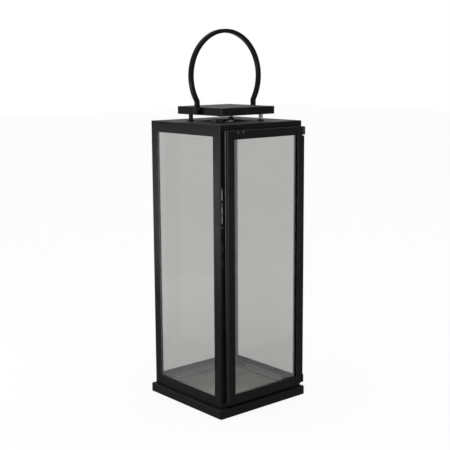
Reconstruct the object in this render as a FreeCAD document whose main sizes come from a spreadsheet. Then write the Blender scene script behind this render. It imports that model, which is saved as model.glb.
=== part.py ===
import FreeCAD, Part
import math
import os

import Sketcher

# Candle lantern: a glazed steel frame on a plinth, with a hinged door, a raised vent cap and a bail handle.
# Millimetres, +Z up, origin at the centre of the plinth's underside. The door is on the -Y side.

Vector = FreeCAD.Vector

# Driving sizes

DRIVING = {
    # Plinth, folded from sheet
    "base_overhang": 5.9,
    "base_height": 15,
    "base_sheet": 1.2,
    "base_lip": 14,
    "base_corner_radius": 3,
    "base_edge_radius": 1.8,
    # Body frame of angle section
    "body_width": 182.6,
    "body_height": 470,
    "frame_sheet": 1.5,
    "post_leg": 17,
    "fold_radius": 1.8,
    "rail_height": 18.5,
    "rail_margin": 0.6,
    "top_sheet": 1.5,
    "vent_margin": 10,
    # Fixed panes and the strips that hold them
    "glass_thickness": 3,
    "glass_lap": 10,
    "glass_head_gap": 2,
    "glass_play": 0.2,
    "retainer_length": 100,
    "retainer_height": 8,
    "retainer_foot": 8,
    "retainer_sheet": 1,
    # Door, set in from the edges of the body's front
    "door_left_margin": 9.5,
    "door_right_margin": 2,
    "door_bottom_margin": 8,
    "door_top_margin": 9.4,
    "door_clearance": 0.4,
    "door_member": 14,
    "door_sheet": 1,
    "door_fold_radius": 0.9,
    "door_lip": 10,
    "door_reveal": 3.4,
    "door_glass_inset": 6,
    # Hinges
    "hinge_axis_out": 0.5,
    "hinge_inset": 1.2,
    "hinge_height": 13,
    "hinge_clearance": 0.3,
    "knuckle_radius": 3.5,
    "frame_knuckle": 5,
    "pin_radius": 1.5,
    "pin_head_radius": 2.4,
    "pin_head": 0.8,
    "running_clearance": 0.05,
    "frame_leaf_sheet": 0.8,
    "frame_leaf_width": 14,
    "door_leaf_sheet": 1.2,
    "door_leaf_clearance": 0.6,
    "leaf_neck": 3,
    # Magnetic catch
    "catch_inset": 27,
    "catch_drop": 4,
    "strike_length": 18,
    "strike_height": 7,
    "strike_sheet": 0.8,
    "rivet_pitch": 11,
    "rivet_drop": 3,
    "rivet_radius": 1.2,
    "rivet_head_radius": 2,
    "rivet_head": 1,
    "rivet_head_round": 0.7,
    "magnet_length": 16,
    "magnet_height": 6,
    "magnet_depth": 6,
    # Vent cap and its spacers
    "cap_width": 117.6,
    "cap_height": 13,
    "cap_sheet": 1.2,
    "cap_gap": 11.5,
    "cap_corner_radius": 1.8,
    "cap_edge_radius": 0.9,
    "spacer_inset_x": 13.5,
    "spacer_inset_y": 20,
    "spacer_radius": 3.75,
    "stud_radius": 2.5,
    "stud_tail": 1,
    "bolt_clearance": 0.1,
    "spacer_washer": 1.2,
    "spacer_washer_radius": 5.5,
    "nut_flats": 8,
    "nut_height": 4,
    # Handle and its pivots
    "bar_side": 6.6,
    "loop_bulge": 12.2,
    "loop_rise": 57.3,
    "bend_radius": 8,
    "eye_radius": 6,
    "eye_thickness": 5,
    "bar_clearance": 0.4,
    "pivot_drop": 6.5,
    "pivot_radius": 2.5,
    "pivot_play": 0.3,
    "pivot_washer": 1,
    "pivot_washer_radius": 4.6,
    "pivot_head": 2.6,
    "pivot_head_radius": 4.5,
    "pivot_head_round": 1.9,
    # How far a cut runs past the material it opens
    "cut_margin": 2,
}

# Sizes that follow from the driving ones

DERIVED = {
    "body_half": "=body_width / 2",
    "base_half": "=body_half + base_overhang",
    "base_cavity_half": "=base_half - base_sheet",
    "base_opening_half": "=base_half - base_lip",
    "base_cavity_height": "=base_height - 2 * base_sheet",
    "body_top": "=base_height + body_height",
    "frame_top": "=body_top - top_sheet",
    "frame_height": "=frame_top - base_height",
    "frame_inner": "=body_half - frame_sheet",
    "post_reach": "=body_half - post_leg",
    "rail_length": "=2 * post_reach",
    "bottom_rail_top": "=base_height + rail_height",
    "bottom_foot_top": "=base_height + frame_sheet",
    "top_rail_low": "=body_top - rail_height",
    "top_foot_low": "=frame_top - frame_sheet",
    "pane_out": "=frame_inner - glass_play",
    "pane_in": "=pane_out - glass_thickness",
    "pane_half": "=post_reach + glass_lap",
    "pane_low": "=bottom_foot_top + glass_play",
    "pane_height": "=top_foot_low - glass_head_gap - pane_low",
    "retainer_half": "=retainer_length / 2",
    "retainer_out": "=pane_in - glass_play",
    "retainer_face": "=retainer_out - retainer_sheet",
    "retainer_in": "=retainer_out - retainer_foot",
    "rail_inside": "=retainer_in - rail_margin",
    "foot_strip_low": "=bottom_foot_top + retainer_sheet",
    "foot_strip_top": "=bottom_foot_top + retainer_height",
    "head_strip_low": "=top_foot_low - retainer_height",
    "head_strip_top": "=top_foot_low - retainer_sheet",
    "door_x_low": "=door_left_margin - body_half",
    "door_x_high": "=body_half - door_right_margin",
    "door_x_mid": "=(door_x_low + door_x_high) / 2",
    "door_low": "=base_height + door_bottom_margin",
    "door_high": "=body_top - door_top_margin",
    "door_mid": "=(door_low + door_high) / 2",
    "door_gap": "=max(frame_leaf_sheet; strike_sheet) + door_clearance",
    "door_depth": "=door_reveal + glass_thickness + 2 * glass_play + door_sheet",
    "door_back": "=body_half + door_gap",
    "door_front": "=door_back + door_depth",
    "door_height": "=door_high - door_low",
    "door_half_height": "=door_height / 2",
    "door_rail_length": "=door_x_high - door_x_low - 2 * door_member",
    "door_rail_half": "=door_rail_length / 2",
    "door_member_inner": "=door_member - door_sheet",
    "door_lip_face": "=door_depth - door_sheet",
    "door_tab_inner": "=door_half_height - door_sheet",
    "door_glass_x": "=door_x_low + door_glass_inset",
    "door_glass_y": "=-door_front + door_reveal + glass_play",
    "door_glass_z": "=door_low + door_glass_inset",
    "door_glass_width": "=door_x_high - door_x_low - 2 * door_glass_inset",
    "door_glass_height": "=door_height - 2 * door_glass_inset",
    "hinge_x": "=door_x_high + hinge_axis_out",
    "hinge_y": "=(door_front + door_back) / 2",
    "hinge_low": "=door_low + hinge_inset",
    "hinge_high": "=door_high - hinge_inset - hinge_height",
    "pin_shoulder": "=hinge_height + hinge_clearance",
    "pin_top": "=pin_shoulder + pin_head",
    "knuckle_bore": "=pin_radius + running_clearance",
    "door_knuckle": "=(hinge_height - frame_knuckle) / 2 - hinge_clearance",
    "frame_knuckle_low": "=door_knuckle + hinge_clearance",
    "door_knuckle_high": "=hinge_height - door_knuckle",
    "frame_leaf_face": "=body_half + frame_leaf_sheet",
    "frame_leaf_right": "=hinge_x + leaf_neck / 2",
    "frame_leaf_left": "=frame_leaf_right - frame_leaf_width",
    "frame_neck_left": "=hinge_x - leaf_neck / 2",
    "neck_root": "=(pin_radius + knuckle_radius) / 2",
    "frame_neck_front": "=hinge_y - neck_root",
    "door_leaf_right": "=hinge_x - knuckle_radius - door_leaf_clearance",
    "door_leaf_left": "=door_leaf_right - door_leaf_sheet",
    "door_leaf_front": "=door_front - glass_play",
    "door_leaf_back": "=door_back + glass_play",
    "door_neck_right": "=hinge_x - neck_root",
    "door_neck_front": "=hinge_y + leaf_neck / 2",
    "door_neck_back": "=hinge_y - leaf_neck / 2",
    "notch_depth": "=door_x_high - door_leaf_left",
    "notch_inner": "=door_half_height - hinge_inset - pin_top - hinge_clearance",
    "notch_outer": "=door_half_height + cut_margin",
    "catch_centre": "=body_half - door_left_margin - catch_inset",
    "catch_height": "=door_high - catch_drop",
    "catch_right": "=catch_centre - magnet_length / 2",
    "catch_left": "=catch_centre + magnet_length / 2",
    "catch_low": "=catch_height - magnet_height / 2",
    "catch_top": "=catch_height + magnet_height / 2",
    "magnet_back": "=body_half - magnet_depth",
    "strike_right": "=catch_centre - strike_length / 2",
    "strike_left": "=catch_centre + strike_length / 2",
    "strike_low": "=catch_height - strike_height / 2",
    "strike_back": "=door_back - strike_sheet",
    "rivet_height": "=door_high - rivet_drop",
    "rivet_near": "=catch_centre - rivet_pitch / 2",
    "rivet_far": "=catch_centre + rivet_pitch / 2",
    "rivet_near_in_rail": "=door_x_mid + rivet_near",
    "rivet_far_in_rail": "=door_x_mid + rivet_far",
    "rivet_hole": "=rivet_radius + running_clearance",
    "rivet_length": "=door_depth + strike_sheet",
    "rivet_top": "=rivet_length + rivet_head",
    "cap_half": "=cap_width / 2",
    "cap_low": "=body_top + cap_gap",
    "cap_top": "=cap_low + cap_height",
    "cap_cavity_half": "=cap_half - cap_sheet",
    "cap_cavity_height": "=cap_height - cap_sheet",
    "spacer_x": "=cap_half - spacer_inset_x",
    "spacer_y": "=cap_half - spacer_inset_y",
    "vent_half": "=spacer_x - spacer_washer_radius - vent_margin",
    "bolt_hole": "=stud_radius + bolt_clearance",
    "spacer_length": "=cap_gap + cap_cavity_height - spacer_washer",
    "stud_length": "=spacer_washer + top_sheet + nut_height + stud_tail",
    "spacer_seat": "=body_top + spacer_washer",
    "nut_circumradius": "=nut_flats / sqrt(3)",
    "spacer_nut_low": "=frame_top - nut_height",
    "pivot_height": "=cap_top - pivot_drop",
    "pivot_hole": "=pivot_radius + bolt_clearance",
    "eye_hole": "=pivot_radius + running_clearance",
    "eye_inner": "=cap_half + pivot_washer + pivot_play",
    "eye_outer": "=eye_inner + eye_thickness",
    "leg_x": "=(eye_inner + eye_outer) / 2",
    "bar_half": "=bar_side / 2",
    "bar_inner": "=leg_x - bar_half",
    "bar_outer": "=leg_x + bar_half",
    "eye_root": "=max(pivot_washer_radius; pivot_head_radius) + bar_clearance",
    "bar_foot": "=pivot_height + eye_root",
    "loop_height": "=pivot_height + loop_rise",
    "loop_radius": "=leg_x + loop_bulge",
    "bend_x": "=leg_x + bend_radius",
    "bend_height": "=loop_height - sqrt((loop_radius + bend_radius) ^ 2 - bend_x ^ 2)",
    "pivot_seat": "=eye_outer + pivot_play",
    "pivot_nut_out": "=cap_cavity_half",
    "pivot_shank": "=pivot_seat - pivot_nut_out + nut_height + stud_tail",
    "pivot_length": "=pivot_shank + pivot_head",
    "pivot_tip": "=pivot_seat - pivot_shank",
}

SIDES = {"front": 0, "left": -90, "right": 90, "back": 180}
GLAZED_SIDES = ("left", "right", "back")
CORNERS = {"front_left": 0, "front_right": 90, "back_right": 180, "back_left": 270}

doc = FreeCAD.newDocument("candle_lantern")
sheet = doc.addObject("Spreadsheet::Sheet", "dims")
for row, (alias, content) in enumerate({**DRIVING, **DERIVED}.items(), start=1):
    sheet.set(f"A{row}", alias)
    sheet.set(f"B{row}", str(content))
    sheet.setAlias(f"B{row}", alias)
doc.recompute()

nodes = []


def number(term):
    """Value of a sheet name, of a name with a minus sign before it, or of the word zero."""
    if term == "zero":
        return 0.0
    if term.startswith("-"):
        return -float(sheet.get(term[1:]))
    return float(sheet.get(term))


def bind(target, path, term):
    """Tie a property to its cell in the sheet."""
    sign = "-" if term.startswith("-") else ""
    target.setExpression(path, f"{sign}dims.{term.lstrip('-')}")


def place(target, x="zero", y="zero", z="zero", axis=Vector(0, 0, 1), angle=0):
    """Turn an object about an axis through its own origin, then set that origin at named coordinates."""
    position = Vector(number(x), number(y), number(z))
    target.Placement = FreeCAD.Placement(position, FreeCAD.Rotation(axis, angle))
    for letter, term in zip("xyz", (x, y, z)):
        if term != "zero":
            bind(target, f"Placement.Base.{letter}", term)


# Sketches and features

VERTICAL_AXIS = -2
HORIZONTAL_AXIS = -1


def new_body(label):
    body = doc.addObject("PartDesign::Body", label)
    body.Label = label
    return body


def new_sketch(body, plane, offset="zero"):
    """Sketch on one of the body's own origin planes, moved along the plane's normal by a named offset."""
    sketch = body.newObject("Sketcher::SketchObject", f"{body.Name}_sketch")
    support = [feature for feature in body.Origin.OriginFeatures if feature.Role == plane][0]
    sketch.AttachmentSupport = [(support, "")]
    sketch.MapMode = "FlatFace"
    if offset != "zero":
        bind(sketch, "AttachmentOffset.Base.z", offset)
    return sketch


def hold_point(sketch, shape, end, x, y):
    """Hold a point of a sketch at two named coordinates."""
    for kind, term, axis in (("DistanceX", x, VERTICAL_AXIS), ("DistanceY", y, HORIZONTAL_AXIS)):
        if term == "zero":
            sketch.addConstraint(Sketcher.Constraint("PointOnObject", shape, end, axis))
        else:
            index = sketch.addConstraint(Sketcher.Constraint(kind, -1, 1, shape, end, number(term)))
            bind(sketch, f"Constraints[{index}]", term)


def draw_outline(sketch, points):
    """Closed outline through named points."""
    corners = [Vector(number(x), number(y), 0) for x, y in points]
    count = len(points)
    first = sketch.GeometryCount
    for i in range(count):
        sketch.addGeometry(Part.LineSegment(corners[i], corners[(i + 1) % count]))
    for i in range(count):
        sketch.addConstraint(Sketcher.Constraint("Coincident", first + i, 2, first + (i + 1) % count, 1))
        hold_point(sketch, first + i, 1, *points[i])


def draw_rectangle(sketch, left, right, low, high):
    draw_outline(sketch, [(left, low), (right, low), (right, high), (left, high)])


def draw_square(sketch, half):
    draw_rectangle(sketch, f"-{half}", half, f"-{half}", half)


def draw_circle(sketch, x, y, radius):
    circle = Part.Circle(Vector(number(x), number(y), 0), Vector(0, 0, 1), number(radius))
    index = sketch.addGeometry(circle)
    hold_point(sketch, index, 3, x, y)
    constraint = sketch.addConstraint(Sketcher.Constraint("Radius", index, number(radius)))
    bind(sketch, f"Constraints[{constraint}]", radius)


def add_pad(body, sketch, length):
    pad = body.newObject("PartDesign::Pad", f"{body.Name}_pad")
    pad.Profile = sketch
    bind(pad, "Length", length)
    doc.recompute()
    return pad


def check_cut(body, cut, before):
    """A cut that misses the solid shows no error, so the volume has to fall."""
    doc.recompute()
    if cut.Shape.Volume >= before:
        raise RuntimeError(f"{cut.Name} in {body.Label} removes nothing")


def cut_up(body, sketch, length):
    """Pocket that runs from its sketch along the sketch plane's normal."""
    before = body.Tip.Shape.Volume
    pocket = body.newObject("PartDesign::Pocket", f"{body.Name}_pocket")
    pocket.Profile = sketch
    pocket.Reversed = True
    bind(pocket, "Length", length)
    check_cut(body, pocket, before)


def cut_through(body, sketch):
    """Pocket that runs right through the body, both ways from its sketch."""
    before = body.Tip.Shape.Volume
    pocket = body.newObject("PartDesign::Pocket", f"{body.Name}_hole")
    pocket.Profile = sketch
    pocket.Type = "ThroughAll"
    pocket.SideType = "Symmetric"
    check_cut(body, pocket, before)


def round_edges(body, wanted, radius):
    """Fillet on each edge of the finished solid that passes the test."""
    tip = body.Tip
    names = [f"Edge{i}" for i, edge in enumerate(tip.Shape.Edges, start=1) if wanted(edge)]
    fillet = body.newObject("PartDesign::Fillet", f"{body.Name}_fillet")
    fillet.Base = (tip, names)
    bind(fillet, "Radius", radius)
    doc.recompute()


def runs_along(edge, direction):
    """True for a straight edge along a direction."""
    if edge.Curve.TypeId != "Part::GeomLine":
        return False
    return abs(abs(edge.Curve.Direction.dot(direction)) - 1) < 1e-6


def lies_at(edge, **wanted):
    """True where the middle of an edge's box has the wanted coordinates."""
    centre = edge.BoundBox.Center
    return all(abs(abs(getattr(centre, letter)) - abs(value)) < 1e-4 for letter, value in wanted.items())


def turned(label, points):
    """Solid of revolution about its own Z axis, from an outline of named radii and heights."""
    body = new_body(label)
    sketch = new_sketch(body, "XZ_Plane")
    draw_outline(sketch, points)
    revolution = body.newObject("PartDesign::Revolution", f"{body.Name}_revolution")
    revolution.Profile = sketch
    revolution.ReferenceAxis = (sketch, ["V_Axis"])
    revolution.Angle = 360
    doc.recompute()
    return body


def upright(label, points, low, height):
    """Prism that stands on an outline in plan."""
    body = new_body(label)
    sketch = new_sketch(body, "XY_Plane", low)
    draw_outline(sketch, points)
    add_pad(body, sketch, height)
    return body


def run(label, points, half, length):
    """Prism along X, centred, from an outline of Y and Z."""
    body = new_body(label)
    sketch = new_sketch(body, "YZ_Plane", f"-{half}")
    draw_outline(sketch, points)
    add_pad(body, sketch, length)
    return body


def block(label, x, y, z, length, width, height):
    """Plain rectangular block from its low corner."""
    box = doc.addObject("Part::Box", label)
    box.Label = label
    for side, term in (("Length", length), ("Width", width), ("Height", height)):
        bind(box, side, term)
    place(box, x, y, z)
    return box


def group(label, pieces):
    """Identical small pieces kept as one node of separate solids."""
    compound = doc.addObject("Part::Compound", label)
    compound.Label = label
    compound.Links = pieces
    nodes.append(compound)


def ring(label, inner, outer, thickness):
    return turned(label, [(inner, "zero"), (outer, "zero"), (outer, thickness), (inner, thickness)])


def headed(label, shank_radius, shoulder, head_radius, top):
    """Round shank from height zero, with a wider head above its shoulder."""
    points = [
        ("zero", "zero"),
        (shank_radius, "zero"),
        (shank_radius, shoulder),
        (head_radius, shoulder),
        (head_radius, top),
        ("zero", top),
    ]
    return turned(label, points)


def hex_nut(label, bore):
    """Hexagon nut on its own Z axis."""
    hexagon = doc.addObject("Part::Prism", f"{label}_hexagon")
    hexagon.Polygon = 6
    bind(hexagon, "Circumradius", "nut_circumradius")
    bind(hexagon, "Height", "nut_height")
    hole = doc.addObject("Part::Cylinder", f"{label}_hole")
    bind(hole, "Radius", bore)
    bind(hole, "Height", "nut_height")
    nut = doc.addObject("Part::Cut", label)
    nut.Base = hexagon
    nut.Tool = hole
    return nut


# Plinth: a tray turned upside down, with a lip folded inwards round its foot


def make_plinth():
    body = new_body("base_plinth")
    outer = new_sketch(body, "XY_Plane")
    draw_square(outer, "base_half")
    add_pad(body, outer, "base_height")
    top = number("base_height")
    round_edges(body, lambda edge: runs_along(edge, Vector(0, 0, 1)), "base_corner_radius")
    round_edges(body, lambda edge: lies_at(edge, z=top), "base_edge_radius")
    opening = new_sketch(body, "XY_Plane")
    draw_square(opening, "base_opening_half")
    cut_up(body, opening, "base_sheet")
    cavity = new_sketch(body, "XY_Plane", "base_sheet")
    draw_square(cavity, "base_cavity_half")
    cut_up(body, cavity, "base_cavity_height")
    nodes.append(body)


# Body frame: angle-section posts and rails, butted together, with the top plate over them


def make_post(corner, angle):
    points = [
        ("-body_half", "-body_half"),
        ("-post_reach", "-body_half"),
        ("-post_reach", "-frame_inner"),
        ("-frame_inner", "-frame_inner"),
        ("-frame_inner", "-post_reach"),
        ("-body_half", "-post_reach"),
    ]
    body = upright(f"corner_post_{corner}", points, "base_height", "frame_height")
    outside = number("body_half")

    def is_fold(edge):
        return runs_along(edge, Vector(0, 0, 1)) and lies_at(edge, x=outside, y=outside)

    round_edges(body, is_fold, "fold_radius")
    place(body, angle=angle)
    nodes.append(body)


def make_bottom_rail(side, angle):
    points = [
        ("-body_half", "base_height"),
        ("-rail_inside", "base_height"),
        ("-rail_inside", "bottom_foot_top"),
        ("-frame_inner", "bottom_foot_top"),
        ("-frame_inner", "bottom_rail_top"),
        ("-body_half", "bottom_rail_top"),
    ]
    body = run(f"bottom_rail_{side}", points, "post_reach", "rail_length")
    place(body, angle=angle)
    nodes.append(body)


def make_top_rail(side, angle):
    points = [
        ("-body_half", "top_rail_low"),
        ("-frame_inner", "top_rail_low"),
        ("-frame_inner", "top_foot_low"),
        ("-rail_inside", "top_foot_low"),
        ("-rail_inside", "frame_top"),
        ("-body_half", "frame_top"),
    ]
    body = run(f"top_rail_{side}", points, "post_reach", "rail_length")
    if side == "front":
        window = new_sketch(body, "XZ_Plane")
        draw_rectangle(window, "-catch_left", "-catch_right", "catch_low", "catch_top")
        cut_through(body, window)
    place(body, angle=angle)
    nodes.append(body)


def make_top_plate():
    body = new_body("top_plate")
    outer = new_sketch(body, "XY_Plane", "frame_top")
    draw_square(outer, "body_half")
    add_pad(body, outer, "top_sheet")
    round_edges(body, lambda edge: runs_along(edge, Vector(0, 0, 1)), "fold_radius")
    openings = new_sketch(body, "XY_Plane", "frame_top")
    draw_square(openings, "vent_half")
    for x in ("spacer_x", "-spacer_x"):
        for y in ("spacer_y", "-spacer_y"):
            draw_circle(openings, x, y, "bolt_hole")
    cut_through(body, openings)
    nodes.append(body)


# Fixed panes, each behind its posts and rails, held by a bent strip at the foot and one at the head


def make_pane(side, angle):
    points = [
        ("-pane_half", "-pane_out"),
        ("pane_half", "-pane_out"),
        ("pane_half", "-pane_in"),
        ("-pane_half", "-pane_in"),
    ]
    body = upright(f"glass_{side}", points, "pane_low", "pane_height")
    place(body, angle=angle)
    nodes.append(body)


def make_retainer(side, angle, end, seat, foot_face, free_edge):
    points = [
        ("-retainer_out", seat),
        ("-retainer_in", seat),
        ("-retainer_in", foot_face),
        ("-retainer_face", foot_face),
        ("-retainer_face", free_edge),
        ("-retainer_out", free_edge),
    ]
    body = run(f"glass_retainer_{end}_{side}", points, "retainer_half", "retainer_length")
    place(body, angle=angle)
    nodes.append(body)


# Door: folded channel all round, with the pane held in the channel

ACROSS = Vector(0, 1, 0)


def door_channel(label, half, length):
    """Channel along X: outer edge at Z zero, front face at Y zero, open towards the pane."""
    points = [
        ("zero", "zero"),
        ("door_depth", "zero"),
        ("door_depth", "door_lip"),
        ("door_lip_face", "door_lip"),
        ("door_lip_face", "door_sheet"),
        ("door_sheet", "door_sheet"),
        ("door_sheet", "door_member_inner"),
        ("door_reveal", "door_member_inner"),
        ("door_reveal", "door_member"),
        ("zero", "door_member"),
    ]
    return run(label, points, half, length)


def round_channel(body):
    """Rounded folds along the channel's outer edges."""
    depth = number("door_depth")

    def is_fold(edge):
        at_edge = lies_at(edge, y=0, z=0) or lies_at(edge, y=depth, z=0)
        return runs_along(edge, Vector(1, 0, 0)) and at_edge

    round_edges(body, is_fold, "door_fold_radius")


def make_stile(side, x, angle):
    body = door_channel(f"door_stile_{side}", "door_half_height", "door_height")
    for offset in ("-door_half_height", "door_tab_inner"):
        tab = new_sketch(body, "YZ_Plane", offset)
        draw_rectangle(tab, "zero", "door_depth", "zero", "door_member")
        add_pad(body, tab, "door_sheet")
    round_channel(body)
    if side == "right":
        notches = new_sketch(body, "XZ_Plane")
        draw_rectangle(notches, "notch_inner", "notch_outer", "-cut_margin", "notch_depth")
        draw_rectangle(notches, "-notch_outer", "-notch_inner", "-cut_margin", "notch_depth")
        cut_through(body, notches)
    place(body, x, "-door_front", "door_mid", ACROSS, angle)
    nodes.append(body)


def make_door_rail(end, z, angle):
    body = door_channel(f"door_rail_{end}", "door_rail_half", "door_rail_length")
    round_channel(body)
    if end == "top":
        holes = new_sketch(body, "XZ_Plane")
        for x in ("rivet_near_in_rail", "rivet_far_in_rail"):
            draw_circle(holes, x, "rivet_drop", "rivet_hole")
        cut_through(body, holes)
    place(body, "door_x_mid", "-door_front", z, ACROSS, angle)
    nodes.append(body)


def make_door_glass():
    size = ("door_glass_width", "glass_thickness", "door_glass_height")
    nodes.append(block("door_glass", "door_glass_x", "door_glass_y", "door_glass_z", *size))


# Hinges: the middle knuckle belongs to the frame, the outer two to the door, and a pin joins all three


def make_frame_leaf(end, height):
    body = new_body(f"hinge_leaf_frame_{end}")
    plate = new_sketch(body, "XY_Plane")
    draw_rectangle(plate, "frame_leaf_left", "frame_leaf_right", "-frame_leaf_face", "-body_half")
    add_pad(body, plate, "hinge_height")
    neck = new_sketch(body, "XY_Plane", "frame_knuckle_low")
    draw_rectangle(neck, "frame_neck_left", "frame_leaf_right", "-frame_neck_front", "-body_half")
    add_pad(body, neck, "frame_knuckle")
    knuckle = new_sketch(body, "XY_Plane", "frame_knuckle_low")
    draw_circle(knuckle, "hinge_x", "-hinge_y", "knuckle_radius")
    add_pad(body, knuckle, "frame_knuckle")
    bore = new_sketch(body, "XY_Plane")
    draw_circle(bore, "hinge_x", "-hinge_y", "knuckle_bore")
    cut_through(body, bore)
    place(body, z=height)
    nodes.append(body)


def make_door_leaf(end, height):
    body = new_body(f"hinge_leaf_door_{end}")
    plate = new_sketch(body, "XY_Plane")
    draw_rectangle(plate, "door_leaf_left", "door_leaf_right", "-door_leaf_front", "-door_leaf_back")
    add_pad(body, plate, "hinge_height")
    for low in ("zero", "door_knuckle_high"):
        neck = new_sketch(body, "XY_Plane", low)
        draw_rectangle(neck, "door_leaf_left", "door_neck_right", "-door_neck_front", "-door_neck_back")
        add_pad(body, neck, "door_knuckle")
        knuckle = new_sketch(body, "XY_Plane", low)
        draw_circle(knuckle, "hinge_x", "-hinge_y", "knuckle_radius")
        add_pad(body, knuckle, "door_knuckle")
    bore = new_sketch(body, "XY_Plane")
    draw_circle(bore, "hinge_x", "-hinge_y", "knuckle_bore")
    cut_through(body, bore)
    place(body, z=height)
    nodes.append(body)


def make_hinge_pin(end, height):
    body = headed(f"hinge_pin_{end}", "pin_radius", "pin_shoulder", "pin_head_radius", "pin_top")
    place(body, "hinge_x", "-hinge_y", height)
    nodes.append(body)


# Catch: a magnet in a window of the header, and a strike plate riveted to the back of the door's top rail


def make_catch():
    magnet = [
        ("-catch_left", "-body_half"),
        ("-catch_right", "-body_half"),
        ("-catch_right", "-magnet_back"),
        ("-catch_left", "-magnet_back"),
    ]
    nodes.append(upright("magnet_catch", magnet, "catch_low", "magnet_height"))
    plate = [
        ("-strike_left", "-door_back"),
        ("-strike_right", "-door_back"),
        ("-strike_right", "-strike_back"),
        ("-strike_left", "-strike_back"),
    ]
    strike = upright("catch_strike", plate, "strike_low", "strike_height")
    holes = new_sketch(strike, "XZ_Plane")
    for x in ("-rivet_near", "-rivet_far"):
        draw_circle(holes, x, "rivet_height", "rivet_hole")
    cut_through(strike, holes)
    nodes.append(strike)


def make_strike_rivets():
    rivets = []
    top = number("rivet_top")
    for x in ("-rivet_near", "-rivet_far"):
        label = f"strike_rivet_{len(rivets)}"
        rivet = headed(label, "rivet_radius", "rivet_length", "rivet_head_radius", "rivet_top")
        round_edges(rivet, lambda edge: lies_at(edge, z=top), "rivet_head_round")
        place(rivet, x, "-strike_back", "rivet_height", Vector(1, 0, 0), 90)
        rivets.append(rivet)
    group("strike_rivets", rivets)


# Vent cap on four turned spacers that are bolted through the top plate


def make_vent_cap():
    body = new_body("vent_cap")
    outer = new_sketch(body, "XY_Plane", "cap_low")
    draw_square(outer, "cap_half")
    add_pad(body, outer, "cap_height")
    top = number("cap_top")
    round_edges(body, lambda edge: runs_along(edge, Vector(0, 0, 1)), "cap_corner_radius")
    round_edges(body, lambda edge: lies_at(edge, z=top), "cap_edge_radius")
    cavity = new_sketch(body, "XY_Plane", "cap_low")
    draw_square(cavity, "cap_cavity_half")
    cut_up(body, cavity, "cap_cavity_height")
    pivots = new_sketch(body, "YZ_Plane")
    draw_circle(pivots, "zero", "pivot_height", "pivot_hole")
    cut_through(body, pivots)
    nodes.append(body)


def make_spacer(label, x, y):
    points = [
        ("zero", "-stud_length"),
        ("stud_radius", "-stud_length"),
        ("stud_radius", "zero"),
        ("spacer_radius", "zero"),
        ("spacer_radius", "spacer_length"),
        ("zero", "spacer_length"),
    ]
    body = turned(label, points)
    place(body, x, y, "spacer_seat")
    nodes.append(body)


def make_spacers():
    washers = []
    nuts = []
    for depth, y in (("front", "-spacer_y"), ("back", "spacer_y")):
        for hand, x in (("left", "-spacer_x"), ("right", "spacer_x")):
            make_spacer(f"cap_spacer_{depth}_{hand}", x, y)
            label = f"spacer_washer_{depth}_{hand}"
            washer = ring(label, "bolt_hole", "spacer_washer_radius", "spacer_washer")
            place(washer, x, y, "body_top")
            washers.append(washer)
            nut = hex_nut(f"spacer_nut_{depth}_{hand}", "bolt_hole")
            place(nut, x, y, "spacer_nut_low")
            nuts.append(nut)
    group("spacer_washers", washers)
    group("spacer_nuts", nuts)


# Handle: square bar bent to a loop, with a flattened eye at each foot that turns on a pivot screw


def draw_handle_line(sketch):
    """Centre line: leg, reverse bend, loop over the top, reverse bend, leg."""
    leg = number("leg_x")
    foot = number("bar_foot")
    bend = number("bend_height")
    loop_centre = Vector(0, number("loop_height"), 0)
    turn = math.atan2(number("loop_height") - bend, number("bend_x"))
    up = Vector(0, 0, 1)
    bend_radius = number("bend_radius")
    left_centre = Vector(-number("bend_x"), bend, 0)
    right_centre = Vector(number("bend_x"), bend, 0)
    left_leg = sketch.addGeometry(Part.LineSegment(Vector(-leg, foot, 0), Vector(-leg, bend, 0)))
    left_bend = sketch.addGeometry(Part.ArcOfCircle(Part.Circle(left_centre, up, bend_radius), 0, turn))
    loop_circle = Part.Circle(loop_centre, up, number("loop_radius"))
    loop = sketch.addGeometry(Part.ArcOfCircle(loop_circle, -turn, math.pi + turn))
    right_circle = Part.Circle(right_centre, up, bend_radius)
    right_bend = sketch.addGeometry(Part.ArcOfCircle(right_circle, math.pi - turn, math.pi))
    right_leg = sketch.addGeometry(Part.LineSegment(Vector(leg, bend, 0), Vector(leg, foot, 0)))
    smooth_joints = [
        (left_leg, 2, left_bend, 1),
        (left_bend, 2, loop, 2),
        (loop, 1, right_bend, 1),
        (right_bend, 2, right_leg, 1),
    ]
    for ends in smooth_joints:
        sketch.addConstraint(Sketcher.Constraint("Tangent", *ends))
    for leg_line in (left_leg, right_leg):
        sketch.addConstraint(Sketcher.Constraint("Vertical", leg_line))
    hold_point(sketch, left_leg, 1, "-leg_x", "bar_foot")
    hold_point(sketch, right_leg, 2, "leg_x", "bar_foot")
    hold_point(sketch, loop, 3, "zero", "loop_height")
    for arc, radius in ((loop, "loop_radius"), (left_bend, "bend_radius"), (right_bend, "bend_radius")):
        index = sketch.addConstraint(Sketcher.Constraint("Radius", arc, number(radius)))
        bind(sketch, f"Constraints[{index}]", radius)


def make_handle():
    body = new_body("handle")
    line = new_sketch(body, "XZ_Plane")
    draw_handle_line(line)
    section = new_sketch(body, "XY_Plane", "bar_foot")
    draw_rectangle(section, "-bar_outer", "-bar_inner", "-bar_half", "bar_half")
    doc.recompute()
    bar = body.newObject("PartDesign::AdditivePipe", "handle_bar")
    bar.Profile = section
    bar.Spine = (line, [f"Edge{i}" for i in range(1, line.GeometryCount + 1)])
    doc.recompute()
    for offset in ("eye_inner", "-eye_outer"):
        eye = new_sketch(body, "YZ_Plane", offset)
        draw_circle(eye, "zero", "pivot_height", "eye_radius")
        add_pad(body, eye, "eye_thickness")
    bore = new_sketch(body, "YZ_Plane")
    draw_circle(bore, "zero", "pivot_height", "eye_hole")
    cut_through(body, bore)
    nodes.append(body)


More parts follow.
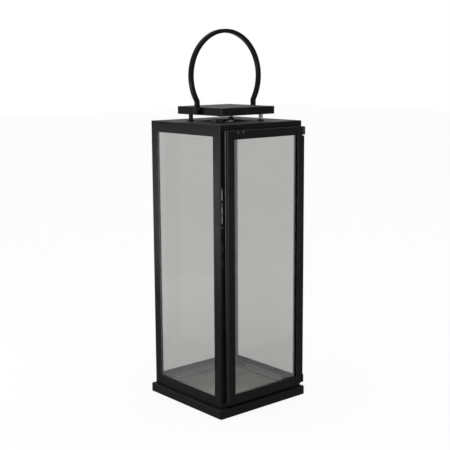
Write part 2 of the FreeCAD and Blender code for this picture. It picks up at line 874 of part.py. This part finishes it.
def make_pivots():
    screws = []
    washers = []
    nuts = []
    head_top = number("pivot_length")
    along_x = Vector(0, 1, 0)
    for hand, sign, angle in (("left", "-", -90), ("right", "", 90)):
        label = f"pivot_screw_{hand}"
        screw = headed(label, "pivot_radius", "pivot_shank", "pivot_head_radius", "pivot_length")
        round_edges(screw, lambda edge: lies_at(edge, z=head_top), "pivot_head_round")
        place(screw, f"{sign}pivot_tip", "zero", "pivot_height", along_x, angle)
        screws.append(screw)
        washer = ring(f"pivot_washer_{hand}", "pivot_hole", "pivot_washer_radius", "pivot_washer")
        place(washer, f"{sign}cap_half", "zero", "pivot_height", along_x, angle)
        washers.append(washer)
        nut = hex_nut(f"pivot_nut_{hand}", "pivot_hole")
        place(nut, f"{sign}pivot_nut_out", "zero", "pivot_height", along_x, -angle)
        nuts.append(nut)
    group("pivot_screws", screws)
    group("pivot_washers", washers)
    group("pivot_nuts", nuts)


# Assembly

make_plinth()
for corner, angle in CORNERS.items():
    make_post(corner, angle)
for side, angle in SIDES.items():
    make_bottom_rail(side, angle)
    make_top_rail(side, angle)
make_top_plate()
for side in GLAZED_SIDES:
    make_pane(side, SIDES[side])
    make_retainer(side, SIDES[side], "bottom", "bottom_foot_top", "foot_strip_low", "foot_strip_top")
    make_retainer(side, SIDES[side], "top", "top_foot_low", "head_strip_top", "head_strip_low")
make_stile("left", "door_x_low", 90)
make_stile("right", "door_x_high", -90)
make_door_rail("bottom", "door_low", 0)
make_door_rail("top", "door_high", 180)
make_door_glass()
for end, height in (("lower", "hinge_low"), ("upper", "hinge_high")):
    make_frame_leaf(end, height)
    make_door_leaf(end, height)
    make_hinge_pin(end, height)
make_catch()
make_strike_rivets()
make_vent_cap()
make_spacers()
make_handle()
make_pivots()

# Check and write

doc.recompute()
for item in doc.Objects:
    if "Invalid" in item.State or "Error" in item.State:
        raise RuntimeError(f"{item.Label} failed: {item.State}")
for node in nodes:
    if node.Shape.isNull() or not node.Shape.isValid():
        raise RuntimeError(f"{node.Label} has no valid shape")

os.makedirs("parts", exist_ok=True)
for node in nodes:
    node.Shape.exportStep(f"parts/{node.Label}.step")
    print(node.Label, len(node.Shape.Solids), round(node.Shape.Volume, 1))
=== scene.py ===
import math

import bpy
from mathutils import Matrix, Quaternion, Vector


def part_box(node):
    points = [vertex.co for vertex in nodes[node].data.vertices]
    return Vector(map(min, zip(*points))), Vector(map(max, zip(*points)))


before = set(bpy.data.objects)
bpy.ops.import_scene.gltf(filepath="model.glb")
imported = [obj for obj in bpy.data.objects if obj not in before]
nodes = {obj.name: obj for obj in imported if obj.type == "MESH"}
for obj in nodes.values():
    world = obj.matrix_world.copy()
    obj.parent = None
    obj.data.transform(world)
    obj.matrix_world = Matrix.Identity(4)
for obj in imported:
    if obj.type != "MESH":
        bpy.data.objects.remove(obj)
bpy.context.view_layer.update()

# Candle lantern: satin black sheet steel with tinted panes, on a pale floor.
# Lengths are in metres, in the frame of the parts. A pair named span, fade, turn or lean says where an effect
# starts and where it is full. Other pairs are the least and the most of a value.

# View of the photograph
CAMERA_PLACE = Vector((-1.05836, -1.24166, 0.58558))
CAMERA_TARGET = Vector((-0.00353, 0, 0.3042))
CAMERA_ROLL = math.radians(-0.375)
CAMERA_LENS = 76.124

# Node helpers

# Places of the inputs and outputs of a mix, which has a pair and a result for each kind of value
MIX_SHARE = 0
MIX_NUMBERS = (2, 3)
MIX_COLOURS = (6, 7)
MIXED_NUMBER = 0
MIXED_COLOUR = 2


def add_node(tree, kind, inputs=None, **settings):
    """New node whose inputs take numbers, colours or other nodes' outputs."""
    node = tree.nodes.new(kind)
    for name, value in settings.items():
        setattr(node, name, value)
    for name, value in (inputs or {}).items():
        if isinstance(value, bpy.types.NodeSocket):
            tree.links.new(value, node.inputs[name])
        else:
            node.inputs[name].default_value = value
    return node


def position(tree):
    """Place on the part, in metres."""
    return add_node(tree, "ShaderNodeTexCoord").outputs["Object"]


def stretch(tree, place, scale):
    """Coordinates scaled along each axis, for grain that runs one way."""
    inputs = {"Vector": place, "Scale": scale}
    return add_node(tree, "ShaderNodeMapping", inputs).outputs["Vector"]


def noise(tree, place, scale, detail=2.0, roughness=0.5):
    """Cloudy pattern of values about a half."""
    inputs = {"Vector": place, "Scale": scale, "Detail": detail, "Roughness": roughness}
    return add_node(tree, "ShaderNodeTexNoise", inputs).outputs["Fac"]


def spread(tree, value, span, result=(0.0, 1.0)):
    """Value carried smoothly from its span to the result's, held at both ends."""
    inputs = {
        "Value": value,
        "From Min": span[0],
        "From Max": span[1],
        "To Min": result[0],
        "To Max": result[1],
    }
    return add_node(tree, "ShaderNodeMapRange", inputs, interpolation_type="SMOOTHSTEP").outputs["Result"]


def combine(tree, operation, first, second):
    """Two values put together by a named operation."""
    return add_node(tree, "ShaderNodeMath", {0: first, 1: second}, operation=operation).outputs[0]


def multiply(tree, first, *others):
    """Product of two values or more."""
    product = first
    for value in others:
        product = combine(tree, "MULTIPLY", product, value)
    return product


def size_of(tree, value):
    """Value without its sign."""
    return add_node(tree, "ShaderNodeMath", {0: value}, operation="ABSOLUTE").outputs[0]


def blend_colours(tree, share, first, second):
    """First colour where the share is 0, second where it is 1."""
    inputs = {MIX_SHARE: share, MIX_COLOURS[0]: first, MIX_COLOURS[1]: second}
    return add_node(tree, "ShaderNodeMix", inputs, data_type="RGBA").outputs[MIXED_COLOUR]


def blend_numbers(tree, share, first, second):
    """First number where the share is 0, second where it is 1."""
    inputs = {MIX_SHARE: share, MIX_NUMBERS[0]: first, MIX_NUMBERS[1]: second}
    return add_node(tree, "ShaderNodeMix", inputs, data_type="FLOAT").outputs[MIXED_NUMBER]


def axes(tree, vector):
    """Components of a vector, by the names of the axes."""
    return add_node(tree, "ShaderNodeSeparateXYZ", {"Vector": vector}).outputs


def facing(tree):
    """Components of the surface's direction in the part's own frame, which turns with the part."""
    return axes(tree, add_node(tree, "ShaderNodeTexCoord").outputs["Normal"])


def bump(tree, height, strength, distance):
    """Surface direction tilted by a pattern of heights."""
    inputs = {"Height": height, "Strength": strength, "Distance": distance}
    return add_node(tree, "ShaderNodeBump", inputs).outputs["Normal"]


def new_material(name):
    """Material with an empty tree of nodes."""
    material = bpy.data.materials.new(name)
    material.use_nodes = True
    material.node_tree.nodes.clear()
    return material


def close_material(material, shader):
    """Material whose surface is the given shader."""
    add_node(material.node_tree, "ShaderNodeOutputMaterial", {"Surface": shader})
    return material


def solid_material(material, inputs):
    """Material whose surface is one layer with the given inputs."""
    layer = add_node(material.node_tree, "ShaderNodeBsdfPrincipled", inputs)
    return close_material(material, layer.outputs[0])


# Dust on the paint, and painted shade on the low ledge and towards the back of the candle floor

DUST_COLOUR = (0.057, 0.056, 0.052, 1)
# Painted shade on the low ledge where the body meets the plinth
LEDGE_SHADE = (0.02, 0.02, 0.019, 1)
SETTLED_DUST = (0.62, 0.608, 0.565, 1)
DUST_ROUGHNESS = 0.56
UPWARD_TURN = (0.55, 0.95)
LOW_FADE = (0.1, 0.05)
# Painted light on the candle floor towards the door, painted shade towards the back
DOOR_LIGHT_FADE = (0.09, -0.09)
SKIN_FADE = (0.0008, 0.0012)


def within_frame(tree, where):
    """One deeper than the skin of the frame's outer faces."""
    post_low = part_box("corner_post_front_left")[0]
    reach = combine(tree, "MAXIMUM", size_of(tree, where["X"]), size_of(tree, where["Y"]))
    return spread(tree, reach, [-post_low.x - depth for depth in SKIN_FADE])


def candle_floor(tree, where):
    """One low down within the frame, where more dust settles."""
    return multiply(tree, within_frame(tree, where), spread(tree, where["Z"], LOW_FADE))


def dust_and_shade_colour(tree, where):
    """Pale dust on the candle floor; on the low ledge around it, a dark painted shade where the body meets
    the plinth.
    """
    outside = blend_colours(tree, spread(tree, where["Z"], LOW_FADE), DUST_COLOUR, LEDGE_SHADE)
    return blend_colours(tree, candle_floor(tree, where), outside, SETTLED_DUST)


def floor_dust_and_shade(tree, where):
    """Share of pale dust on the candle floor, full towards the door and the left pane: painted light near the
    door and painted shade towards the back.
    """
    across = combine(tree, "ADD", where["X"], where["Y"])
    return multiply(tree, candle_floor(tree, where), spread(tree, across, DOOR_LIGHT_FADE))


# Pale inner faces, painted glint and painted highlights on the paint

INSIDE_PALE_COLOUR = (0.7, 0.74, 0.715, 1)
INSIDE_PALE_LEAN = (0.5, 0.2)

# Painted highlight on the rounded upright edges and on the catch's rivet heads
PAINTED_HIGHLIGHT = (0.042, 0.042, 0.0435, 1)
FOLD_TURN = (0.12, 0.42)
FOLD_FADE = (0.05, 0.4)

# Painted glint on the front left post: a broken pale streak
GLINT_COLOUR = (0.42, 0.385, 0.365, 1)
GLINT_FROM_EDGE = 0.0042
GLINT_HALF_WIDTH = 0.0011
GLINT_CORE = GLINT_HALF_WIDTH / 3
GLINT_DEPTH = 0.001
GLINT_FOOT = 0.25
GLINT_LOW = 0.317
GLINT_HIGH = 0.388
GLINT_END = 0.012
GLINT_FAINT = 0.14
GLINT_GRAIN = {"scale": 130}
GLINT_GRAIN_SPAN = (0.36, 0.54)

# Painted highlight on the door's stiles: faint light on the side facing left, a line on the back edge
STILE_HIGHLIGHT_COLOUR = (0.3, 0.297, 0.285, 1)
STILE_HIGHLIGHT_WIDTH = 0.0024
STILE_HIGHLIGHT_FOOT = 0.05
STILE_SIDE_LIGHT = 0.055
STILE_SIDE_LIGHT_TURN = (-0.3, -0.8)


def inside_pale(tree, where):
    """One on upright faces within the frame, which are pale grey-green."""
    upright = spread(tree, size_of(tree, facing(tree)["Z"]), INSIDE_PALE_LEAN)
    return multiply(tree, within_frame(tree, where), upright)


def fold_highlights(tree, where):
    """One on the rounds between two upright faces, where a highlight is painted, less towards the foot."""
    face = facing(tree)
    turned = multiply(tree, size_of(tree, face["X"]), size_of(tree, face["Y"]))
    return multiply(tree, spread(tree, turned, FOLD_TURN), spread(tree, where["Z"], FOLD_FADE))


def painted_glint(tree, place, where):
    """One in the broken streak of painted glint on the front left post, where its paint mirrors the light
    just past the door's edge; fainter low down.
    """
    post_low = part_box("corner_post_front_left")[0]
    aside = size_of(tree, combine(tree, "SUBTRACT", where["X"], post_low.x + GLINT_FROM_EDGE))
    streak = spread(tree, aside, (GLINT_HALF_WIDTH, GLINT_CORE))
    foot = spread(tree, where["Z"], (GLINT_FOOT, GLINT_FOOT + GLINT_END))
    full = spread(tree, where["Z"], (GLINT_LOW, GLINT_LOW + GLINT_END), (GLINT_FAINT, 1.0))
    head = spread(tree, where["Z"], (GLINT_HIGH, GLINT_HIGH - GLINT_END))
    in_front = spread(tree, where["Y"], (post_low.y + GLINT_DEPTH, post_low.y + GLINT_DEPTH / 2))
    broken = spread(tree, noise(tree, place, **GLINT_GRAIN), GLINT_GRAIN_SPAN)
    return multiply(tree, streak, foot, full, head, in_front, broken)


def stile_highlight(tree, where):
    """Share of painted highlight on the left sides of the door's stiles: faint painted light on the whole
    side that faces left, and a thin line on the back edge, most high up.
    """
    stile_low, stile_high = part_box("door_stile_left")
    side = spread(tree, facing(tree)["X"], STILE_SIDE_LIGHT_TURN)
    back = spread(tree, where["Y"], (stile_high.y - STILE_HIGHLIGHT_WIDTH, stile_high.y - STILE_HIGHLIGHT_WIDTH / 2))
    high = spread(tree, where["Z"], (stile_low.z, stile_high.z), (STILE_HIGHLIGHT_FOOT, 1.0))
    return multiply(tree, side, combine(tree, "MAXIMUM", multiply(tree, back, high), STILE_SIDE_LIGHT))


# Black paint

PAINT_COLOUR = (0.0045, 0.0045, 0.0048, 1)
PAINT_THIN = (0.0065, 0.0065, 0.0069, 1)
# Painted highlight on the catch's rivet heads
RIVET_HIGHLIGHT = (0.07, 0.07, 0.068, 1)
PAINT_BEND = 1.5
PAINT_SHINE = 0.04
PAINT_ROUGHNESS = (0.24, 0.36)
PAINT_BUMP = {"strength": 0.12, "distance": 0.0006}

CLOUD = {"scale": 28, "detail": 3}
CLOUD_SPAN = (0.25, 0.7)
CLOUD_DUST = (0.6, 1.0)
SPECK = {"scale": 1900, "detail": 1}
SPECK_SPAN = (0.35, 0.8)
SPECK_DUST = (0.5, 1.0)
SPECK_HIGHLIGHT_SPAN = (0.3, 0.6)
SMEAR = {"scale": 140, "detail": 3, "roughness": 0.6}
SMEAR_STRETCH = (1, 1, 0.25)
SMEAR_THIN_SPAN = (0.4, 0.75)
SMEAR_SHEEN = 0.5
SHEEN_SPAN = (0.5, 1.0)
PEEL = {"scale": 520}
PEEL_HEIGHT = 0.25
WAVE = {"scale": 45, "detail": 1}


def make_paint(name, pale_and_glint=False, rivet_highlight=False, stile_highlighted=False):
    """Satin black enamel: slight orange peel, uneven sheen, dust where the surface faces up, and painted
    highlights on the rounded upright edges.
    """
    material = new_material(name)
    tree = material.node_tree
    place = position(tree)
    where = axes(tree, place)
    cloud = noise(tree, place, **CLOUD)
    smear = noise(tree, stretch(tree, place, SMEAR_STRETCH), **SMEAR)
    speck = noise(tree, place, **SPECK)

    # On the catch's rivet heads the coat is a painted highlight, lighter in specks.
    if rivet_highlight:
        coat = blend_colours(tree, spread(tree, speck, SPECK_HIGHLIGHT_SPAN), PAINTED_HIGHLIGHT, RIVET_HIGHLIGHT)
    else:
        coat = blend_colours(tree, spread(tree, smear, SMEAR_THIN_SPAN), PAINT_COLOUR, PAINT_THIN)
    # Painted highlights on the rounded upright edges, fading towards the foot
    painted = blend_colours(tree, fold_highlights(tree, where), coat, PAINTED_HIGHLIGHT)

    upward = spread(tree, facing(tree)["Z"], UPWARD_TURN)
    haze = multiply(tree, upward, spread(tree, cloud, CLOUD_SPAN, CLOUD_DUST))
    specks = multiply(tree, haze, spread(tree, speck, SPECK_SPAN, SPECK_DUST))
    # Dust on upward faces, with the candle floor's painted shade towards the back
    dust = combine(tree, "MAXIMUM", specks, multiply(tree, upward, floor_dust_and_shade(tree, where)))
    colour = blend_colours(tree, dust, painted, dust_and_shade_colour(tree, where))
    # On the corner posts: pale inner upright faces, and a painted glint on the front left post
    if pale_and_glint:
        colour = blend_colours(tree, inside_pale(tree, where), colour, INSIDE_PALE_COLOUR)
        colour = blend_colours(tree, painted_glint(tree, place, where), colour, GLINT_COLOUR)
    # Painted highlight on the door's stiles
    if stile_highlighted:
        colour = blend_colours(tree, stile_highlight(tree, where), colour, STILE_HIGHLIGHT_COLOUR)

    uneven = combine(tree, "ADD", cloud, multiply(tree, smear, SMEAR_SHEEN))
    sheen = spread(tree, uneven, SHEEN_SPAN, PAINT_ROUGHNESS)
    peel = multiply(tree, noise(tree, place, **PEEL), PEEL_HEIGHT)
    height = combine(tree, "ADD", peel, noise(tree, place, **WAVE))
    inputs = {
        "Base Color": colour,
        "Roughness": blend_numbers(tree, haze, sheen, DUST_ROUGHNESS),
        "IOR": PAINT_BEND,
        "Specular IOR Level": PAINT_SHINE,
        "Normal": bump(tree, height, **PAINT_BUMP),
    }
    return solid_material(material, inputs)


# Glass

GLASS_TINT = (0.646, 0.649, 0.637, 1)
GLASS_SMEAR_SHADE = 0.985
GLASS_SMEARED = tuple(GLASS_SMEAR_SHADE * value for value in GLASS_TINT)
GLASS_FOOT = (0.6, 0.603, 0.592, 1)
GLASS_EDGE = (0.16, 0.30, 0.25, 1)
GLASS_BEND = 1.5
GLASS_SMEAR = {"scale": 16, "detail": 3}
GLASS_SMEAR_SPAN = (0.35, 0.75)
GLASS_FOOT_FADE = (0.2, 0.02)
GLASS_EDGE_TURN = (0.9, 0.5)
SQUARE_ROOT = 0.5


def make_glass(name, across):
    """Tinted float glass, darker towards its foot, with green cut edges. Across is the axis through it."""
    material = new_material(name)
    tree = material.node_tree
    place = position(tree)
    smear = spread(tree, noise(tree, place, **GLASS_SMEAR), GLASS_SMEAR_SPAN)
    clean = blend_colours(tree, smear, GLASS_TINT, GLASS_SMEARED)
    foot = spread(tree, axes(tree, place)["Z"], GLASS_FOOT_FADE)
    edge = spread(tree, size_of(tree, facing(tree)[across]), GLASS_EDGE_TURN)
    tint = blend_colours(tree, edge, blend_colours(tree, foot, clean, GLASS_FOOT), GLASS_EDGE)
    inputs = {
        "Base Color": tint,
        "Roughness": 0.0,
        "IOR": GLASS_BEND,
        "Transmission Weight": 1.0,
    }
    pane = add_node(tree, "ShaderNodeBsdfPrincipled", inputs).outputs[0]
    # Light from a lamp crosses two faces of a pane, so each face takes the square root of the tint.
    one_face = add_node(tree, "ShaderNodeGamma", {"Color": tint, "Gamma": SQUARE_ROOT}).outputs[0]
    clear = add_node(tree, "ShaderNodeBsdfTransparent", {"Color": one_face}).outputs[0]
    lamp_ray = add_node(tree, "ShaderNodeLightPath").outputs["Is Shadow Ray"]
    shader = add_node(tree, "ShaderNodeMixShader", {0: lamp_ray, 1: pane, 2: clear}).outputs[0]
    return close_material(material, shader)


# Bare and plated metal

STEEL_COLOUR = (0.42, 0.41, 0.39, 1)
STEEL_ROUGHNESS = 0.38
RINGS = {"scale": 2600}
RING_STRETCH = (0.02, 0.02, 1)
RING_BUMP = {"strength": 0.15, "distance": 0.0001}
SPRAY_ROUGHNESS = 0.5
SPRAY_CLOUD = {"scale": 420, "detail": 3, "roughness": 0.6}
SPRAY_SPAN = (0.75, 1.15)
SPRAY_ABOVE = 0.002
SPRAY_BELOW = 0.001

ZINC_COLOUR = (0.3, 0.3, 0.29, 1)
ZINC_ROUGHNESS = (0.32, 0.5)
ZINC_ROUGHNESS_SPAN = (0.3, 0.75)
ZINC_CLOUD = {"scale": 300, "detail": 3, "roughness": 0.6}
ZINC_CLOUD_SPAN = (0.3, 0.7)
ZINC_BUMP = {"strength": 0.1, "distance": 0.0002}


def make_spacer_steel(name, sprayed):
    """Turned steel with fine rings. Sprayed is the share of its height that black overspray covers."""
    material = new_material(name)
    tree = material.node_tree
    place = position(tree)
    washer_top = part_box("spacer_washers")[1].z
    spray_top = washer_top + sprayed * (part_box("vent_cap")[0].z - washer_top)
    foot = spread(tree, axes(tree, place)["Z"], (spray_top + SPRAY_ABOVE, spray_top - SPRAY_BELOW))
    spray = spread(tree, combine(tree, "ADD", foot, noise(tree, place, **SPRAY_CLOUD)), SPRAY_SPAN)
    rings = noise(tree, stretch(tree, place, RING_STRETCH), **RINGS)
    inputs = {
        "Base Color": blend_colours(tree, spray, STEEL_COLOUR, PAINT_THIN),
        "Metallic": blend_numbers(tree, spray, 1.0, 0.0),
        "Roughness": blend_numbers(tree, spray, STEEL_ROUGHNESS, SPRAY_ROUGHNESS),
        "Normal": bump(tree, rings, **RING_BUMP),
    }
    return solid_material(material, inputs)


def make_zinc():
    """Dull zinc plating with cloudy crystals."""
    material = new_material("zinc_plating")
    tree = material.node_tree
    cloud = noise(tree, position(tree), **ZINC_CLOUD)
    inputs = {
        "Base Color": blend_colours(tree, spread(tree, cloud, ZINC_CLOUD_SPAN), ZINC_COLOUR, STEEL_COLOUR),
        "Metallic": 1.0,
        "Roughness": spread(tree, cloud, ZINC_ROUGHNESS_SPAN, ZINC_ROUGHNESS),
        "Normal": bump(tree, cloud, **ZINC_BUMP),
    }
    return solid_material(material, inputs)


# Moulded plastic

PLASTIC_DARK = (0.012, 0.012, 0.012, 1)
PLASTIC_LIGHT = (0.02, 0.02, 0.02, 1)
PLASTIC_ROUGHNESS = (0.5, 0.65)
PLASTIC_GRAIN = {"scale": 2400}
PLASTIC_GRAIN_SPAN = (0.3, 0.7)
PLASTIC_BUMP = {"strength": 0.2, "distance": 0.0001}


def make_plastic():
    """Black plastic with a fine moulded grain."""
    material = new_material("moulded_plastic")
    tree = material.node_tree
    grain = noise(tree, position(tree), **PLASTIC_GRAIN)
    inputs = {
        "Base Color": blend_colours(tree, grain, PLASTIC_DARK, PLASTIC_LIGHT),
        "Roughness": spread(tree, grain, PLASTIC_GRAIN_SPAN, PLASTIC_ROUGHNESS),
        "Normal": bump(tree, grain, **PLASTIC_BUMP),
    }
    return solid_material(material, inputs)


# Finish of every part

EDGE_ROUND = 0.00035
EDGE_SEGMENTS = 2
EDGE_ANGLE = math.radians(35)
FLAT_ANGLE = math.radians(0.5)
WELD_REACH = 1e-6

# Share of each spacer's height that overspray covers, past 1 where it covers all
SPRAYED = {
    "cap_spacer_front_left": 0.55,
    "cap_spacer_front_right": 0.05,
    "cap_spacer_back_left": 1.3,
    "cap_spacer_back_right": 0.1,
}
# Axis through each pane
PANES = {"glass_left": "X", "glass_right": "X", "glass_back": "Y", "door_glass": "Y"}
PALE_AND_GLINT_NODES = "corner_post"
STILE_HIGHLIGHT_NODES = "door_stile"
ZINC_NODES = ("spacer_nuts", "pivot_nuts", "catch_strike", "glass_retainer")

paint = make_paint("satin_black_paint")
pale_and_glint_paint = make_paint("pale_and_glint_black_paint", pale_and_glint=True)
rivet_highlight_paint = make_paint("rivet_highlight_black_paint", rivet_highlight=True)
stile_highlight_paint = make_paint("stile_highlight_black_paint", stile_highlighted=True)
glass = {"X": make_glass("pane_glass_side", "X"), "Y": make_glass("pane_glass_front", "Y")}
spacer_steel = {name: make_spacer_steel(f"steel_{name}", share) for name, share in SPRAYED.items()}
zinc = make_zinc()
plastic = make_plastic()
# What the softboxes light: the floor and all parts but the panes
lamp_lit = bpy.data.collections.new("lamp_lit")


def finish_of(name):
    """Material of a part, by its name."""
    if name in PANES:
        return glass[PANES[name]]
    if name in SPRAYED:
        return spacer_steel[name]
    if name.startswith(PALE_AND_GLINT_NODES):
        return pale_and_glint_paint
    if name.startswith(STILE_HIGHLIGHT_NODES):
        return stile_highlight_paint
    if name.startswith(ZINC_NODES):
        return zinc
    if name == "strike_rivets":
        return rivet_highlight_paint
    if name == "magnet_catch":
        return plastic
    return paint


def soften_edges(part):
    """Small rounds on the sharp edges, so that they catch the light as real sheet does."""
    weld = part.modifiers.new("joined_faces", "WELD")
    weld.merge_threshold = WELD_REACH
    flat = part.modifiers.new("whole_faces", "DECIMATE")
    flat.decimate_type = "DISSOLVE"
    flat.angle_limit = FLAT_ANGLE
    edge = part.modifiers.new("soft_edges", "BEVEL")
    edge.width = EDGE_ROUND
    edge.segments = EDGE_SEGMENTS
    edge.limit_method = "ANGLE"
    edge.angle_limit = EDGE_ANGLE
    edge.miter_outer = "MITER_ARC"
    shade = part.modifiers.new("even_shading", "WEIGHTED_NORMAL")
    shade.keep_sharp = False


for name, part in nodes.items():
    part.data.materials.clear()
    part.data.materials.append(finish_of(name))
    if name not in PANES:
        soften_edges(part)
        lamp_lit.objects.link(part)

# Floor, background and light

WHITE = (1, 1, 1, 1)
FLOOR_SIZE = 16
FLOOR_DROP = 0.0003
FLOOR_COLOUR = (0.82, 0.82, 0.81, 1)
FLOOR_PALE = (0.84, 0.84, 0.835, 1)
FLOOR_GRAIN = {"scale": 60}
FLOOR_WHITE = 0.9
ROOM_LIGHT = 0.9
SOFTBOXES = {
    "back_left_softbox": {
        "place": (-0.82, 0.70, 0.20),
        "target": (-0.09, -0.02, 0.20),
        "size": (0.5, 0.36),
        "brightness": 6.6,
    },
    "front_right_softbox": {
        "place": (0.9, -1.0, 0.13),
        "target": (0, -0.09, 0.13),
        "size": (0.9, 0.22),
        "brightness": 1.5,
    },
    "overhead_softbox": {
        "place": (-0.3, -0.4, 1.9),
        "target": (0, 0, 0.3),
        "size": (1.2, 1.2),
        "brightness": 1.5,
    },
}


def sight(tree):
    """One where a ray shows the background: seen straight, mirrored or through glass."""
    path = add_node(tree, "ShaderNodeLightPath").outputs
    mirrored = combine(tree, "MAXIMUM", path["Is Camera Ray"], path["Is Glossy Ray"])
    return combine(tree, "MAXIMUM", mirrored, path["Is Transmission Ray"])


def make_floor():
    """Pale paper, nearly white where it is seen."""
    bpy.ops.mesh.primitive_plane_add(size=FLOOR_SIZE, location=(0, 0, -FLOOR_DROP))
    floor = bpy.context.object
    floor.name = "floor"
    material = new_material("pale_floor")
    tree = material.node_tree
    grain = noise(tree, position(tree), **FLOOR_GRAIN)
    paper = blend_colours(tree, grain, FLOOR_COLOUR, FLOOR_PALE)
    lit = add_node(tree, "ShaderNodeBsdfDiffuse", {"Color": paper}).outputs[0]
    white = add_node(tree, "ShaderNodeEmission", {"Color": WHITE, "Strength": 1.0}).outputs[0]
    share = multiply(tree, sight(tree), FLOOR_WHITE)
    shader = add_node(tree, "ShaderNodeMixShader", {0: share, 1: lit, 2: white}).outputs[0]
    floor.data.materials.append(close_material(material, shader))
    lamp_lit.objects.link(floor)


def make_world():
    """White background that lights the parts a little less than it shows."""
    world = bpy.data.worlds.new("studio")
    bpy.context.scene.world = world
    world.use_nodes = True
    tree = world.node_tree
    tree.nodes.clear()
    room = add_node(tree, "ShaderNodeBackground", {"Color": WHITE, "Strength": ROOM_LIGHT}).outputs[0]
    white = add_node(tree, "ShaderNodeBackground", {"Color": WHITE, "Strength": 1.0}).outputs[0]
    shader = add_node(tree, "ShaderNodeMixShader", {0: sight(tree), 1: room, 2: white}).outputs[0]
    add_node(tree, "ShaderNodeOutputWorld", {"Surface": shader})


def add_softbox(name, place, target, size, brightness):
    """Rectangular lamp aimed at a point. Brightness is what it would show in a mirror, white being 1."""
    lamp = bpy.data.lights.new(name, "AREA")
    lamp.shape = "RECTANGLE"
    lamp.size, lamp.size_y = size
    lamp.energy = brightness * math.pi * size[0] * size[1]
    box = bpy.data.objects.new(name, lamp)
    bpy.context.scene.collection.objects.link(box)
    box.location = place
    box.rotation_mode = "QUATERNION"
    box.rotation_quaternion = (Vector(target) - Vector(place)).to_track_quat("-Z", "Y")
    box.visible_camera = False
    box.visible_transmission = False
    box.light_linking.receiver_collection = lamp_lit


def make_camera():
    """Camera at the place of the photograph."""
    camera = bpy.data.objects.new("camera", bpy.data.cameras.new("camera"))
    bpy.context.scene.collection.objects.link(camera)
    camera.data.lens = CAMERA_LENS
    camera.location = CAMERA_PLACE
    camera.rotation_mode = "QUATERNION"
    aim = (CAMERA_TARGET - CAMERA_PLACE).to_track_quat("-Z", "Y")
    camera.rotation_quaternion = aim @ Quaternion((0, 0, 1), CAMERA_ROLL)
    bpy.context.scene.camera = camera


make_floor()
make_world()
for name, values in SOFTBOXES.items():
    add_softbox(name, **values)
make_camera()
bpy.context.scene.view_settings.view_transform = "Standard"
